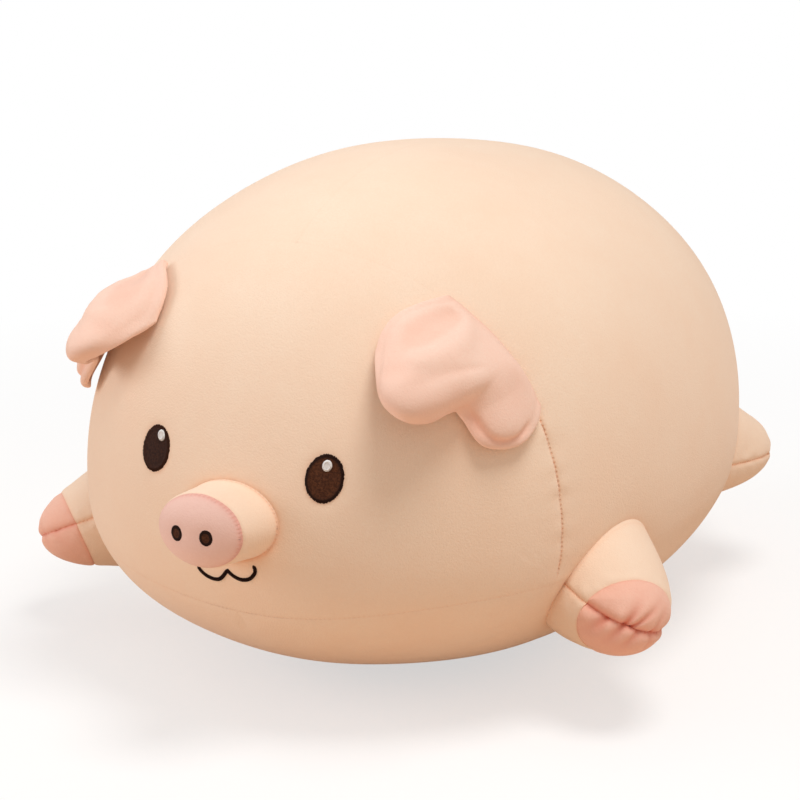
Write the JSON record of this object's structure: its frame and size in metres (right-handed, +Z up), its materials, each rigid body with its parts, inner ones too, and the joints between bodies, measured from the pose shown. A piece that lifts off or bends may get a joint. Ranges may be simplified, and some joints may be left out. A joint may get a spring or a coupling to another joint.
{
  "type": "plush pig",
  "caption": "Round stuffed plush pig that lies on its belly, with folded ears, stub legs with pink hooves, a stitched face and a curled tail.",
  "frame": {"origin": "middle of the flat patch under the belly, on the surface that the pig lies on", "axes": "+Z up, -Y towards the snout, +X towards the pig's left side"},
  "size_m": [0.3982, 0.5378, 0.2864],
  "materials": {
    "body_plush": "short peach velvet pile",
    "ear_plush": "short pale pink velvet pile",
    "pink_plush": "short pink velvet pile",
    "hoof_plush": "short salmon pink velvet pile",
    "brown_thread": "dark brown satin stitch",
    "white_thread": "off-white satin stitch",
    "fibre": "loose polyester fibre"
  },
  "bodies": {
    "body": {"face_panel": "body_plush", "left_side_panel": "body_plush", "right_side_panel": "body_plush", "belly_panel": "body_plush", "body_stuffing": "fibre", "snout_band": "body_plush", "snout_pad": "pink_plush", "snout_stuffing": "fibre", "left_nostril": "brown_thread", "right_nostril": "brown_thread", "left_eye": "brown_thread", "right_eye": "brown_thread", "left_eye_highlight": "white_thread", "right_eye_highlight": "white_thread", "mouth": "brown_thread", "front_left_leg_upper_cover": "body_plush", "front_left_leg_lower_cover": "body_plush", "front_left_leg_upper_hoof": "hoof_plush", "front_left_leg_lower_hoof": "hoof_plush", "front_left_leg_stuffing": "fibre", "front_right_leg_upper_cover": "body_plush", "front_right_leg_lower_cover": "body_plush", "front_right_leg_upper_hoof": "hoof_plush", "front_right_leg_lower_hoof": "hoof_plush", "front_right_leg_stuffing": "fibre", "hind_left_leg_upper_cover": "body_plush", "hind_left_leg_lower_cover": "body_plush", "hind_left_leg_upper_hoof": "hoof_plush", "hind_left_leg_lower_hoof": "hoof_plush", "hind_left_leg_stuffing": "fibre", "hind_right_leg_upper_cover": "body_plush", "hind_right_leg_lower_cover": "body_plush", "hind_right_leg_upper_hoof": "hoof_plush", "hind_right_leg_lower_hoof": "hoof_plush", "hind_right_leg_stuffing": "fibre"},
    "left_ear": {"left_ear_back": "ear_plush", "left_ear_front": "ear_plush", "left_ear_wadding": "fibre"},
    "right_ear": {"right_ear_back": "ear_plush", "right_ear_front": "ear_plush", "right_ear_wadding": "fibre"},
    "tail": {"tail_cover": "body_plush", "tail_stuffing": "fibre"}
  },
  "joints": [
    {"name": "left_ear_fold", "type": "hinge", "parent": "body", "child": "left_ear", "pos_m": [0.11463, -0.15413, 0.21229], "axis": [-0.6548, -0.1297, 0.7446], "range_deg": [-2, 90], "stiffness_Nm_per_rad": 0.05},
    {"name": "right_ear_fold", "type": "hinge", "parent": "body", "child": "right_ear", "pos_m": [-0.11463, -0.15413, 0.21229], "axis": [-0.6548, 0.1297, -0.7446], "range_deg": [-2, 90], "stiffness_Nm_per_rad": 0.05},
    {"name": "tail_sway", "type": "hinge", "parent": "body", "child": "tail", "pos_m": [0, 0.23302, 0.16782], "axis": [0, -0.4013, 0.9159], "range_deg": [-25, 25], "stiffness_Nm_per_rad": 0.02}
  ]
}
